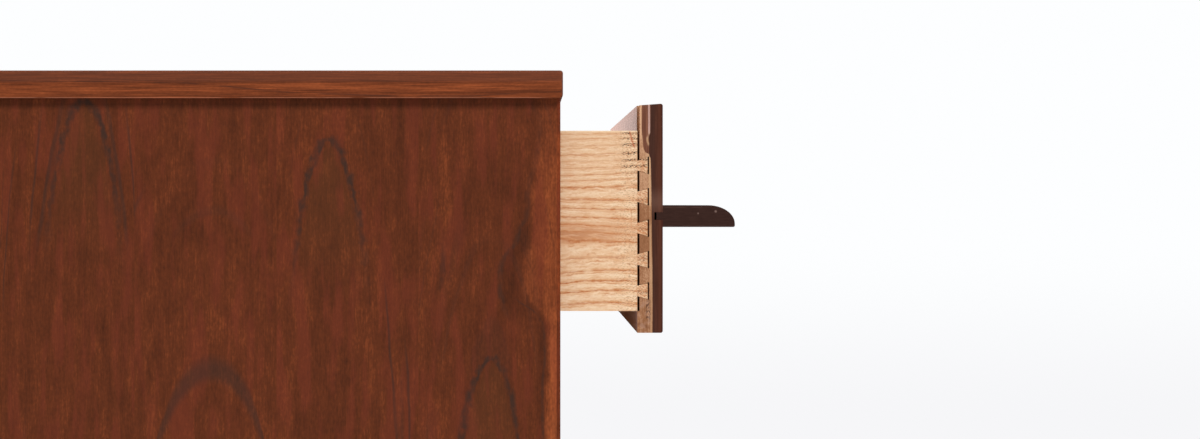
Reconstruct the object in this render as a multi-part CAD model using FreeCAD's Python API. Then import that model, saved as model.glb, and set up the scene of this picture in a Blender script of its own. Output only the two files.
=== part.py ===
import FreeCAD, Part
import math
import os

# A highboy: a tall chest with one column of full-width drawers on a low leg frame.
# The case is two side panels, a lipped top and web frames housed in dadoes; a thin back
# panel sits in rabbets. Each drawer is a walnut front with half-blind dovetails, oak
# sides and back, a plywood bottom, a full-width ledge pull set in a groove, and a
# channel that runs on a centre guide. Sizes are in millimetres.
# +Z is up and the drawers pull out along -Y. The origin is on the floor, under the
# centre of the box that the whole piece takes up as it stands.

# ---- case ----
case_width = 914.0              # over the side panels
case_depth = 457.0              # front edges to back
side_thickness = 19.05
edge_band = 3.0                 # solid strip on each side panel's front edge
edge_band_round = 1.0
dado_depth = 6.0
rabbet_width = 10.0             # seat for the back panel in each side
back_thickness = 6.0
back_recess = 1.5               # back panel's outer face, in from the sides' back edges
back_edge_gap = 0.4

# ---- top ----
top_thickness = 22.2
top_overhang_side = 6.0
top_overhang_front = 2.0
lipping_width = 12.0
top_arris_round = 2.2
top_under_chamfer = 2.6         # under the front edge only
top_corner_round = 3.0

# ---- web frames ----
rail_thickness = 22.2
front_rail_depth = 60.0
rear_rail_depth = 70.0
runner_width = 45.0
frame_groove = 6.0              # groove round the inside of each frame
frame_groove_depth = 9.5
frame_tongue_short = 0.5        # a tongue stops this far from the groove's bottom
dust_panel_thickness = 5.2

# ---- centre guides ----
guide_width = 20.0
guide_rise = 6.0                # height above the rails
guide_lap = 34.0                # length that lies on each rail
guide_sink = 7.5                # body depth below the rails' top
channel_width = 54.0
channel_play = 0.4
channel_lift = 1.2              # channel above the lower edge of the drawer sides

# ---- drawers ----
drawer_count = 4
top_front_height = 185.5
lower_front_height = 312.0      # every front under the top one
front_thickness = 20.6
front_arris_round = 1.8
front_back_bevel = 1.5          # top edge falls this much towards the back
end_rebate_depth = 1.8          # step down the back of each end, behind the pins
top_reveal = 3.6                # gap between the top and the uppermost front
reveal = 3.0                    # gap between two fronts
front_end_gap = 1.6             # gap between a front's end and the side panel
rail_overlap = 17.4             # part of the rail that a front hides
closing_gap = 0.4               # front's back to the rail's face when shut
running_gap = 0.3               # drawer side above its runner
head_gap = 3.4                  # drawer side below the frame above it
box_rear_gap = 30.0             # behind a shut drawer's box
box_side_thickness = 12.7
box_back_thickness = 12.7
box_back_drop = 6.0             # back's top edge below the sides' top edge
bottom_thickness = 6.0
bottom_groove_up = 11.5         # above the lower edge of the sides
bottom_groove_depth = 6.35
bottom_groove_play = 0.15
bottom_edge_gap = 0.4

# ---- dovetails ----
tail_pitch = 25.4
first_tail_up = 16.2            # centre of the lowest tail above the side's lower edge
tail_narrow = 8.6
tail_wide = 14.4
socket_depth = 9.5              # into the front's thickness
tail_end_gap = 1.2
cheek_gap = 0.2
socket_side_gap = 0.15
least_half_pin = 5.0
rear_tail_pitch = 38.1
rear_tail_up = 17.0             # centre of the lowest rear tail above the back's lower edge
rear_tail_narrow = 15.0
rear_tail_wide = 20.0
rear_cheek_gap = 0.12

# ---- ledge pulls ----
pull_projection = 58.3
pull_thickness = 17.6
pull_rise = 1.7                 # centre above the front's middle
nose_length = 21.5              # quarter ellipse on the upper edge
nose_drop = 15.0
nose_lip_round = 1.3
tongue_thickness = 6.0
tongue_length = 5.1
tongue_groove_depth = 6.8
tongue_play = 0.1

# ---- leg frame ----
base_height = 150.0
base_inset = 15.0
leg_top = 38.0
leg_foot = 25.0
apron_height = 48.0
apron_thickness = 19.05
apron_set_back = 3.0            # behind the legs' outer faces
tenon_thickness = 8.0
tenon_height = 32.0
tenon_length = 19.0
mortise_play = 0.2
block_arm = 50.0                # length of each corner block along its apron
block_height = 36.0
glide_radius = 9.0
glide_height = 4.0
tack_width = 2.6                # square tack that holds a glide
tack_length = 14.0

# ---- fasteners ----
hole_play = 0.06                # round every screw, staple and tack
staple_crown = 11.0
staple_wire = 1.3
staple_length = 24.0
staple_edge = 5.0               # from the back panel's outer edge
screw_radius = 2.2
screw_head_across = 7.0         # between the flats of the six-sided head
screw_head_height = 3.0
top_screw_bite = 12.0           # length in the top
top_screw_columns = 2
base_screw_bite = 14.0          # length in the case's lowest rails
base_screw_corner = 10.0        # from the leg's inner corner

# ---- how the piece stands ----
top_drawer_open = 83.0          # the top drawer is left pulled out this far

# ---- places worked out from the sizes ----
front_heights = [top_front_height] + [lower_front_height] * (drawer_count - 1)
case_front = (top_drawer_open + pull_projection - case_depth) / 2
case_back = case_front + case_depth
case_half = case_width / 2
inner_half = case_half - side_thickness
front_stack = top_reveal + sum(front_heights) + (drawer_count - 1) * reveal
case_height = front_stack + rail_thickness - rail_overlap
case_bottom = base_height
case_top = case_bottom + case_height
front_back = case_front + front_thickness
rail_front = front_back + closing_gap
rail_back = rail_front + front_rail_depth
back_outer = case_back - back_recess
back_inner = back_outer - back_thickness
rear_rail_front = back_inner - rear_rail_depth
frame_half = inner_half + dado_depth
drawer_half = inner_half - front_end_gap
box_inner_half = drawer_half - box_side_thickness
box_back = back_inner - box_rear_gap
leg_outer_x = case_half - base_inset
leg_front = case_front + base_inset
leg_back = case_back - base_inset


def front_top(number):
    """Top edge of drawer front number (0 is the uppermost) in Z."""
    return case_top - top_reveal - sum(height + reveal for height in front_heights[:number])


def frame_top(level):
    """Upper face of a web frame in Z: level 0 is under the top, level n under drawer n."""
    if level == 0:
        return case_top
    return front_top(level - 1) - front_heights[level - 1] + rail_overlap


frame_tops = [frame_top(level) for level in range(drawer_count + 1)]


# ---- shapes ----
def vector(x, y, z):
    return FreeCAD.Vector(x, y, z)


def block(x, y, z):
    """A box between the two ends of each (low, high) pair."""
    return Part.makeBox(x[1] - x[0], y[1] - y[0], z[1] - z[0], vector(x[0], y[0], z[0]))


def prism_along_x(outline, x):
    """A closed (y, z) outline pushed along X between the ends of the pair x."""
    points = [vector(x[0], y, z) for y, z in outline]
    return Part.Face(Part.makePolygon(points + points[:1])).extrude(vector(x[1] - x[0], 0, 0))


def prism_along_y(outline, y):
    """A closed (x, z) outline pushed along Y between the ends of the pair y."""
    points = [vector(x, y[0], z) for x, z in outline]
    return Part.Face(Part.makePolygon(points + points[:1])).extrude(vector(0, y[1] - y[0], 0))


def prism_along_z(outline, z):
    """A closed (x, y) outline pushed along Z between the ends of the pair z."""
    points = [vector(x, y, z[0]) for x, y in outline]
    return Part.Face(Part.makePolygon(points + points[:1])).extrude(vector(0, 0, z[1] - z[0]))


def sided(side, near, far):
    """An X pair on one side of the centre plane (side is -1 or 1), low end first."""
    return tuple(sorted((side * near, side * far)))


def mirrored(shape):
    """The same shape on the other side of the centre plane."""
    return shape.mirror(vector(0, 0, 0), vector(1, 0, 0))


def edges_on(shape, **planes):
    """Straight edges that lie in all the named planes, such as YMin=12.0 or ZMax=3.0."""
    found = []
    for edge in shape.Edges:
        box = edge.BoundBox
        if all(abs(getattr(box, key) - value) < 1e-4 for key, value in planes.items()):
            found.append(edge)
    return found


def group(shapes):
    """Separate solids kept together as one part."""
    return Part.makeCompound([solid for shape in shapes for solid in shape.Solids])


# ---- fasteners ----
def spread(count, reach):
    """Evenly spaced places from -reach to reach."""
    return [reach * (2 * i / (count - 1) - 1) for i in range(count)]


def staple(x, z, upright=False, play=0.0):
    """A staple through the back panel, or its hole if play is given. Its crown lies along X,
    or along Z if it is upright."""
    half = staple_crown / 2 + play
    leg = staple_wire + 2 * play
    crown = back_outer + staple_wire
    tip = crown - staple_length - play
    outline = [
        (-half, crown),
        (half, crown),
        (half, tip),
        (half - leg, tip),
        (half - leg, back_outer),
        (leg - half, back_outer),
        (leg - half, tip),
        (-half, tip),
    ]
    shape = prism_along_z(outline, (-leg / 2, leg / 2))
    if upright:
        shape.rotate(vector(0, 0, 0), vector(0, 1, 0), 90)
    shape.translate(vector(x, 0, z))
    return shape


def staple_places():
    """(x, z, upright) of the staples: one into each rear rail, and one a bay into each side."""
    edge = inner_half + rabbet_width - staple_edge
    middles = [top - rail_thickness / 2 for top in frame_tops]
    places = [(0.0, z, False) for z in middles]
    bays = [(high + low) / 2 for high, low in zip(middles, middles[1:])]
    return places + [(x, z, True) for z in bays for x in (-edge, edge)]


def screw_shank(place, play=0.0):
    """Shank of a screw driven up from place, or its hole if play is given."""
    x, y, z, length = place
    return Part.makeCylinder(screw_radius + play, length + play, vector(x, y, z))


def screw(place):
    """A screw with a six-sided head under the wood, driven up from place."""
    x, y, z, length = place
    corner = screw_head_across / math.sqrt(3)
    angles = [math.radians(60 * i) for i in range(6)]
    outline = [(x + corner * math.cos(a), y + corner * math.sin(a)) for a in angles]
    return prism_along_z(outline, (z - screw_head_height, z)).fuse(screw_shank(place))


def screw_places():
    """(x, y, z, length) of the screws up into the top, and through the corner blocks into the case."""
    places = []
    for x in spread(top_screw_columns, inner_half - runner_width):
        for y in ((rail_front + rail_back) / 2, (rear_rail_front + back_inner) / 2):
            places.append((x, y, case_top - rail_thickness, rail_thickness + top_screw_bite))
    corner = leg_top + base_screw_corner
    for x in spread(2, leg_outer_x - corner):
        for y in (leg_front + corner, leg_back - corner):
            places.append((x, y, base_height - block_height, block_height + base_screw_bite))
    return places


def bored(shape):
    """The shape with a hole wherever a screw or staple passes through it."""
    holes = [screw_shank(place, hole_play) for place in screw_places()]
    holes += [staple(*place, play=hole_play) for place in staple_places()]
    holes = [hole for hole in holes if hole.BoundBox.intersect(shape.BoundBox)]
    return shape.cut(holes) if holes else shape


# ---- top ----
def top_parts():
    """The top panel and its three mitred lippings, cut from one shaped blank."""
    half = case_half + top_overhang_side
    front = case_front - top_overhang_front
    z = (case_top, case_top + top_thickness)
    blank = block((-half, half), (front, case_back), z)
    blank = blank.makeChamfer(top_under_chamfer, edges_on(blank, YMax=front, ZMax=z[0]))
    corners = edges_on(blank, YMax=front, XMin=half) + edges_on(blank, YMax=front, XMax=-half)
    blank = blank.makeFillet(top_corner_round, corners)
    arris = [edge for edge in edges_on(blank, ZMin=z[1]) if edge.BoundBox.YMin < case_back - 1]
    blank = blank.makeFillet(top_arris_round, arris)

    inner = half - lipping_width
    inner_front = front + lipping_width
    front_zone = [(-half, front), (half, front), (inner, inner_front), (-inner, inner_front)]
    left_zone = [(-half, front), (-inner, inner_front), (-inner, case_back), (-half, case_back)]
    left = blank.common(prism_along_z(left_zone, z))
    return {
        "top_panel": bored(blank.common(block((-inner, inner), (inner_front, case_back), z))),
        "top_lipping_front": blank.common(prism_along_z(front_zone, z)),
        "top_lipping_left": left,
        "top_lipping_right": mirrored(left),
    }


# ---- case ----
def left_side_panel():
    """Side panel with a stopped dado for each web frame and a rabbet for the back."""
    panel = block((-case_half, -inner_half), (case_front + edge_band, case_back), (case_bottom, case_top))
    cuts = [
        block((-frame_half, -inner_half), (rail_front, case_back), (top - rail_thickness, top))
        for top in frame_tops
    ]
    cuts.append(
        block((-inner_half - rabbet_width, -inner_half), (back_inner, case_back), (case_bottom, case_top))
    )
    return bored(panel.cut(cuts))


def left_edge_band():
    """Solid strip that covers the side panel's front edge, with its arrises eased."""
    y = (case_front, case_front + edge_band)
    band = block((-case_half, -inner_half), y, (case_bottom, case_top))
    long_edges = [edge for edge in edges_on(band, YMax=case_front) if edge.Length > side_thickness]
    return band.makeFillet(edge_band_round, long_edges)


def frame_slot(level, play=0.0):
    """Z pair of the groove that runs round the inside of a web frame."""
    middle = frame_tops[level] - rail_thickness / 2
    return (middle - frame_groove / 2 + play, middle + frame_groove / 2 - play)


def front_rail(level):
    z = (frame_tops[level] - rail_thickness, frame_tops[level])
    x = (-frame_half, frame_half)
    groove = block(x, (rail_back - frame_groove_depth, rail_back), frame_slot(level))
    return bored(block(x, (rail_front, rail_back), z).cut(groove))


def rear_rail(level):
    z = (frame_tops[level] - rail_thickness, frame_tops[level])
    x = (-frame_half, frame_half)
    groove = block(x, (rear_rail_front, rear_rail_front + frame_groove_depth), frame_slot(level))
    return bored(block(x, (rear_rail_front, back_inner), z).cut(groove))


def left_runner(level):
    """Runner between the rails: tongued into both, and grooved for the dust panel."""
    z = (frame_tops[level] - rail_thickness, frame_tops[level])
    inner = -frame_half + runner_width
    x = (-frame_half, inner)
    reach = frame_groove_depth - frame_tongue_short
    body = block(x, (rail_back, rear_rail_front), z)
    tongues = block(x, (rail_back - reach, rear_rail_front + reach), frame_slot(level))
    groove_y = (rail_back - reach, rear_rail_front + reach)
    groove = block((inner - frame_groove_depth, inner), groove_y, frame_slot(level))
    return body.fuse(tongues).cut(groove).removeSplitter()


def dust_panel(level):
    """Thin panel that floats in the grooves of a web frame."""
    half = frame_half - runner_width + frame_groove_depth - frame_tongue_short
    reach = frame_groove_depth - frame_tongue_short
    y = (rail_back - reach, rear_rail_front + reach)
    return block((-half, half), y, frame_slot(level, (frame_groove - dust_panel_thickness) / 2))


def centre_guide(level):
    """Hardwood strip that steers a drawer: it hangs between the rails and laps both."""
    top = frame_tops[level]
    x = (-guide_width / 2, guide_width / 2)
    strip_y = (rail_back - guide_lap, rear_rail_front + guide_lap)
    strip = block(x, strip_y, (top, top + guide_rise))
    body = block(x, (rail_back, rear_rail_front), (top - guide_sink, top + guide_rise))
    return strip.fuse(body).removeSplitter()


def back_panel():
    half = inner_half + rabbet_width - back_edge_gap
    return bored(block((-half, half), (back_inner, back_outer), (case_bottom, case_top)))


def case_parts():
    levels = range(drawer_count + 1)
    side = left_side_panel()
    band = left_edge_band()
    runners = [left_runner(level) for level in levels]
    dividers = {"divider_rail_%d" % level: front_rail(level) for level in levels[1:-1]}
    return {
        "case_side_left": side,
        "case_side_right": mirrored(side),
        "side_edge_band_left": band,
        "side_edge_band_right": mirrored(band),
        "front_rail_top": front_rail(0),
        **dividers,
        "front_rail_bottom": front_rail(drawer_count),
        "rear_rails": group([rear_rail(level) for level in levels]),
        "frame_runners": group(runners + [mirrored(runner) for runner in runners]),
        "dust_panels": group([dust_panel(level) for level in levels[1:]]),
        "centre_guides": group([centre_guide(level) for level in levels[1:]]),
        "back_panel": back_panel(),
        "back_staples": group([staple(*place) for place in staple_places()]),
        "frame_screws": group([screw(place) for place in screw_places()]),
    }


# ---- leg frame ----
def tapered_outline(outer, inward):
    """(across, z) outline of a leg: outer face upright, inner face tapered below the apron."""
    return [
        (outer, glide_height),
        (outer, base_height),
        (outer + inward * leg_top, base_height),
        (outer + inward * leg_top, base_height - apron_height),
        (outer + inward * leg_foot, glide_height),
    ]


def left_leg(outer_y, inward):
    """Left leg whose outer face is at outer_y; inward is the way to the middle, 1 or -1 in Y."""
    y = tuple(sorted((outer_y, outer_y + inward * leg_top)))
    x = (-leg_outer_x, -leg_outer_x + leg_top)
    leg = prism_along_x(tapered_outline(outer_y, inward), x)
    return leg.common(prism_along_y(tapered_outline(-leg_outer_x, 1), y))


def apron_x(outer_y, inward, play=0.0):
    """Apron across the front or back, with a tenon at each end; play turns it into a cutter."""
    near = outer_y + inward * apron_set_back
    y = tuple(sorted((near, near + inward * apron_thickness)))
    middle = (y[0] + y[1]) / 2
    half = leg_outer_x - leg_top
    shoulder = block((-half, half), y, (base_height - apron_height, base_height))
    reach = half + tenon_length + play
    thick = tenon_thickness / 2 + play
    z = base_height - (apron_height - tenon_height) / 2
    tenons = block(
        (-reach, reach), (middle - thick, middle + thick), (z - tenon_height - play, z + play)
    )
    return tenons if play else shoulder.fuse(tenons).removeSplitter()


def left_apron_y(play=0.0):
    """Apron along the left side, with a tenon at each end; play turns it into a cutter."""
    near = -leg_outer_x + apron_set_back
    middle = near + apron_thickness / 2
    y = (leg_front + leg_top, leg_back - leg_top)
    shoulder = block((near, near + apron_thickness), y, (base_height - apron_height, base_height))
    reach = tenon_length + play
    thick = tenon_thickness / 2 + play
    z = base_height - (apron_height - tenon_height) / 2
    tenons = block(
        (middle - thick, middle + thick),
        (y[0] - reach, y[1] + reach),
        (z - tenon_height - play, z + play),
    )
    return tenons if play else shoulder.fuse(tenons).removeSplitter()


def left_corner_block(outer_y, inward):
    """Block glued behind a leg, against both aprons, notched round the leg's inner corner."""
    face = apron_set_back + apron_thickness
    outline = [
        (leg_top, face),
        (leg_top + block_arm, face),
        (face, leg_top + block_arm),
        (face, leg_top),
        (leg_top, leg_top),
    ]
    points = [(-leg_outer_x + across, outer_y + inward * along) for across, along in outline]
    return bored(prism_along_z(points, (base_height - block_height, base_height)))


def left_glide(outer_y, inward, play=0.0):
    """Round glide with its tack, centred under a foot, or the tack's hole if play is given."""
    x = -leg_outer_x + leg_foot / 2
    y = outer_y + inward * leg_foot / 2
    half = tack_width / 2 + play
    top = glide_height + tack_length + play
    tack = block((x - half, x + half), (y - half, y + half), (glide_height, top))
    if play:
        return tack
    return tack.fuse(Part.makeCylinder(glide_radius, glide_height, vector(x, y, 0)))


def base_parts():
    apron_side = left_apron_y()
    side_cutter = left_apron_y(mortise_play)
    parts = {}
    glides = []
    blocks = []
    for place, outer_y, inward in (("front", leg_front, 1), ("back", leg_back, -1)):
        cutters = [
            apron_x(outer_y, inward, mortise_play),
            side_cutter,
            left_glide(outer_y, inward, hole_play),
        ]
        leg = left_leg(outer_y, inward).cut(cutters)
        parts["leg_" + place + "_left"] = leg
        parts["leg_" + place + "_right"] = mirrored(leg)
        parts["base_apron_" + place] = apron_x(outer_y, inward)
        glide = left_glide(outer_y, inward)
        corner = left_corner_block(outer_y, inward)
        glides += [glide, mirrored(glide)]
        blocks += [corner, mirrored(corner)]
    parts["base_apron_left"] = apron_side
    parts["base_apron_right"] = mirrored(apron_side)
    parts["corner_blocks"] = group(blocks)
    parts["floor_glides"] = group(glides)
    return parts


# ---- dovetails ----
def tail_heights(low, first_up, pitch, high, wide):
    """Centres in Z of as many tails as fit at the pitch between two edges."""
    room = high - low - first_up - wide / 2 - least_half_pin
    return [low + first_up + i * pitch for i in range(int(room // pitch) + 1)]


def tail_outline(middle, narrow, wide, base_y, end_y, from_y, to_y, gap):
    """(y, z) outline of a tail from from_y to to_y; it is narrow at base_y and wide at end_y."""
    slope = (wide - narrow) / 2 / (end_y - base_y)
    near = narrow / 2 + (from_y - base_y) * slope + gap
    far = narrow / 2 + (to_y - base_y) * slope + gap
    return [(from_y, middle - near), (to_y, middle - far), (to_y, middle + far), (from_y, middle + near)]


def front_tail(middle, x, socket=False):
    """A tail of the half-blind joint at the front, or the socket that takes it."""
    end = front_back - socket_depth
    stop = end if socket else end + tail_end_gap
    gap = 0.0 if socket else -cheek_gap
    outline = tail_outline(middle, tail_narrow, tail_wide, front_back, end, front_back, stop, gap)
    return prism_along_x(outline, x)


def rear_tail(middle, x, gap=0.0):
    """A tail of the through joint at the back, grown by gap for its socket."""
    base = box_back - box_back_thickness
    outline = tail_outline(middle, rear_tail_narrow, rear_tail_wide, base, box_back, base, box_back, gap)
    return prism_along_x(outline, x)


# ---- drawers ----
class Drawer:
    """One drawer, drawn shut. number is 0 for the uppermost."""

    def __init__(self, number):
        self.front_top = front_top(number)
        self.front_bottom = self.front_top - front_heights[number]
        self.rail_top = frame_tops[number + 1]
        self.side_bottom = self.rail_top + running_gap
        self.side_top = frame_tops[number] - rail_thickness - head_gap
        self.panel_bottom = self.side_bottom + bottom_groove_up
        self.back_bottom = self.panel_bottom + bottom_thickness
        self.back_top = self.side_top - box_back_drop
        self.pull_middle = (self.front_top + self.front_bottom) / 2 + pull_rise
        self.tails = tail_heights(
            self.side_bottom, first_tail_up, tail_pitch, self.side_top, tail_wide
        )
        self.rear_tails = tail_heights(
            self.back_bottom, rear_tail_up, rear_tail_pitch, self.back_top, rear_tail_wide
        )

    def groove_z(self):
        """Z pair of the groove for the bottom."""
        return (self.panel_bottom - bottom_groove_play, self.back_bottom + bottom_groove_play)

    def front(self):
        """Front with rounded arrises, a groove for the pull, joints at both ends and a bottom groove."""
        outline = [
            (case_front, self.front_bottom),
            (case_front, self.front_top),
            (front_back, self.front_top - front_back_bevel),
            (front_back, self.front_bottom),
        ]
        board = prism_along_x(outline, (-drawer_half, drawer_half))
        arrises = edges_on(board, YMax=case_front, ZMin=self.front_top)
        arrises += edges_on(board, YMax=case_front, ZMax=self.front_bottom)
        board = board.makeFillet(front_arris_round, arrises)
        slot_half = tongue_thickness / 2 + tongue_play
        cuts = [
            block(
                (-drawer_half, drawer_half),
                (case_front, case_front + tongue_groove_depth),
                (self.pull_middle - slot_half, self.pull_middle + slot_half),
            )
        ]
        rebate_y = (front_back - end_rebate_depth, front_back)
        rebate_z = (self.side_bottom, self.front_top)
        for side in (-1, 1):
            x = sided(side, box_inner_half - socket_side_gap, drawer_half)
            cuts += [front_tail(middle, x, socket=True) for middle in self.tails]
            cuts.append(block(x, rebate_y, rebate_z))
        groove_half = box_inner_half + bottom_groove_depth
        groove_y = (front_back - bottom_groove_depth, front_back)
        cuts.append(block((-groove_half, groove_half), groove_y, self.groove_z()))
        return board.cut(cuts)

    def pull(self):
        """Ledge pull: a bar with a quarter-ellipse nose and a tongue on its back edge."""
        low = self.pull_middle - pull_thickness / 2
        high = self.pull_middle + pull_thickness / 2
        tip = case_front - pull_projection
        tongue_low = self.pull_middle - tongue_thickness / 2
        tongue_high = self.pull_middle + tongue_thickness / 2
        tongue_end = case_front + tongue_length
        x = -drawer_half
        centre = vector(x, tip + nose_length, high - nose_drop)
        crown = vector(x, tip + nose_length, high)
        brow = vector(x, tip, high - nose_drop)
        ellipse = Part.Ellipse(brow, crown, centre)
        nose = Part.Arc(ellipse, ellipse.parameter(crown), ellipse.parameter(brow))
        if nose.length() > nose_length + nose_drop:
            nose = Part.Arc(ellipse, ellipse.parameter(brow), ellipse.parameter(crown))
        corners = [
            brow,
            vector(x, tip, low),
            vector(x, case_front, low),
            vector(x, case_front, tongue_low),
            vector(x, tongue_end, tongue_low),
            vector(x, tongue_end, tongue_high),
            vector(x, case_front, tongue_high),
            vector(x, case_front, high),
            crown,
        ]
        edges = [nose.toShape()]
        edges += [Part.makeLine(start, end) for start, end in zip(corners, corners[1:])]
        face = Part.Face(Part.Wire(Part.__sortEdges__(edges)))
        bar = face.extrude(vector(2 * drawer_half, 0, 0))
        return bar.makeFillet(nose_lip_round, edges_on(bar, YMax=tip, ZMax=low))

    def left_side(self):
        """Side with half-blind tails at the front, through tails at the back and a groove."""
        x = (-drawer_half, -box_inner_half)
        z = (self.side_bottom, self.side_top)
        board = block(x, (front_back, box_back), z)
        board = board.fuse([front_tail(middle, x) for middle in self.tails])
        waste = block(x, (box_back - box_back_thickness, box_back), (self.back_bottom, self.back_top))
        waste = waste.cut([rear_tail(middle, x) for middle in self.rear_tails])
        groove_x = (-box_inner_half - bottom_groove_depth, -box_inner_half)
        groove = block(groove_x, (front_back - socket_depth, box_back), self.groove_z())
        return board.cut([waste, groove]).removeSplitter()

    def back(self):
        """Back whose pins fill the spaces between the sides' rear tails."""
        board = block(
            (-drawer_half, drawer_half),
            (box_back - box_back_thickness, box_back),
            (self.back_bottom, self.back_top),
        )
        sockets = [
            rear_tail(middle, sided(side, box_inner_half, drawer_half), rear_cheek_gap)
            for side in (-1, 1)
            for middle in self.rear_tails
        ]
        return board.cut(sockets)

    def bottom(self):
        half = box_inner_half + bottom_groove_depth - bottom_edge_gap
        y = (front_back - bottom_groove_depth + bottom_edge_gap, box_back)
        return block((-half, half), y, (self.panel_bottom, self.back_bottom))

    def channel(self):
        """Grooved strip under the bottom that straddles the centre guide."""
        half = channel_width / 2
        y = (front_back, box_back)
        strip = block((-half, half), y, (self.side_bottom + channel_lift, self.panel_bottom))
        gap_half = guide_width / 2 + channel_play
        groove_top = self.rail_top + guide_rise + channel_play
        return strip.cut(block((-gap_half, gap_half), y, (self.side_bottom, groove_top)))

    def parts(self):
        side = self.left_side()
        return {
            "front": self.front(),
            "pull": self.pull(),
            "side_left": side,
            "side_right": mirrored(side),
            "back": self.back(),
            "bottom": self.bottom(),
            "channel": self.channel(),
        }


def drawer_parts():
    """All the drawers; the top one stands pulled out."""
    named = {}
    for number in range(drawer_count):
        pulled = top_drawer_open if number == 0 else 0.0
        for name, shape in Drawer(number).parts().items():
            shape.translate(vector(0, -pulled, 0))
            named["drawer_%d_%s" % (number + 1, name)] = shape
    return named


# ---- export ----
def main():
    os.makedirs("parts", exist_ok=True)
    named = {**top_parts(), **case_parts(), **base_parts(), **drawer_parts()}
    for name, shape in named.items():
        shape.exportStep("parts/" + name + ".step")
    print(len(named), "parts,", sum(len(shape.Solids) for shape in named.values()), "solids")


main()
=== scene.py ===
# %% [markdown]
# # A walnut highboy with its top drawer pulled out
#
# This lesson dresses a finished construction model of a tall chest of drawers. The boards,
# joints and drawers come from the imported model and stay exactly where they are; Blender
# adds the finish of every surface, the light and the camera. Lengths are in metres where
# they place something in Blender, and in millimetres inside the wood patterns.

import bpy
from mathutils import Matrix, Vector


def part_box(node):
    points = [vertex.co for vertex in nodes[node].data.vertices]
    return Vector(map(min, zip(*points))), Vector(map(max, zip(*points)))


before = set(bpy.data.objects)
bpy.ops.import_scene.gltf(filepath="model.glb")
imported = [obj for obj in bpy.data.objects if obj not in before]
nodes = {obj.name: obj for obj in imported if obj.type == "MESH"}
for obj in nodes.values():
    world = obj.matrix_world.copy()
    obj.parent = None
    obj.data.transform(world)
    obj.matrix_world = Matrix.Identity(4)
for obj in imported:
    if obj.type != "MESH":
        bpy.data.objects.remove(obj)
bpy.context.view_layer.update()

# %% [markdown]
# A maker measures from the piece itself. The few places that the finishes need, such as the
# front edge of the case or the underside of the top, are read from the pieces' own boxes, so
# a change of size in the model moves the finish with it.


# %% Places read from the pieces
MM = 0.001


def box_mm(name):
    """Lowest and highest corner of a piece, in millimetres."""
    low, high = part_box(name)
    return low / MM, high / MM


case_front = box_mm("side_edge_band_left")[0].y
case_top = box_mm("case_side_left")[1].z
drawer_count = sum(name.endswith("_pull") for name in nodes)
print("case front at", round(case_front, 1), "mm, top of the sides at", round(case_top, 1), "mm")

# %% [markdown]
# ## Shader maths as Python
#
# Wood is drawn by arithmetic: where a point lies in the board decides its colour. Clicking
# such sums together from Math nodes is slow and hard to read, so one small class wraps a
# node's output and turns +, -, * and the rest into Math nodes. The reflected forms let a
# plain number stand on the left, as in 1 - mask.


# %% A wrapped socket
class Socket:
    """One output of a shader node, ready for arithmetic."""

    def __init__(self, shader, output):
        self.shader = shader
        self.output = output

    def __add__(self, other):
        return self.shader.math("ADD", self, other)

    __radd__ = __add__

    def __sub__(self, other):
        return self.shader.math("SUBTRACT", self, other)

    def __rsub__(self, other):
        return self.shader.math("SUBTRACT", other, self)

    def __mul__(self, other):
        return self.shader.math("MULTIPLY", self, other)

    __rmul__ = __mul__

    def __truediv__(self, other):
        return self.shader.math("DIVIDE", self, other)

    def __pow__(self, other):
        return self.shader.math("POWER", self, other)

    def __abs__(self):
        return self.shader.math("ABSOLUTE", self)


# %% [markdown]
# The second class is the material itself. Its node method makes any node from its type, its
# settings and the values or links of its sockets. The other methods are short names for
# the handful of nodes that wood needs again and again: noise, a soft step, patches, lines, a
# curve and a mix of two colours. The Mix node keeps one set of sockets for each
# kind of data, so the ones that carry colours are named here by their numbers.

# %% The Mix node's colour sockets, and white
MIX_FACTOR, MIX_BELOW, MIX_ABOVE = 0, 6, 7
MIX_RESULT = 2
WHITE = (1.0, 1.0, 1.0, 1.0)


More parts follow.
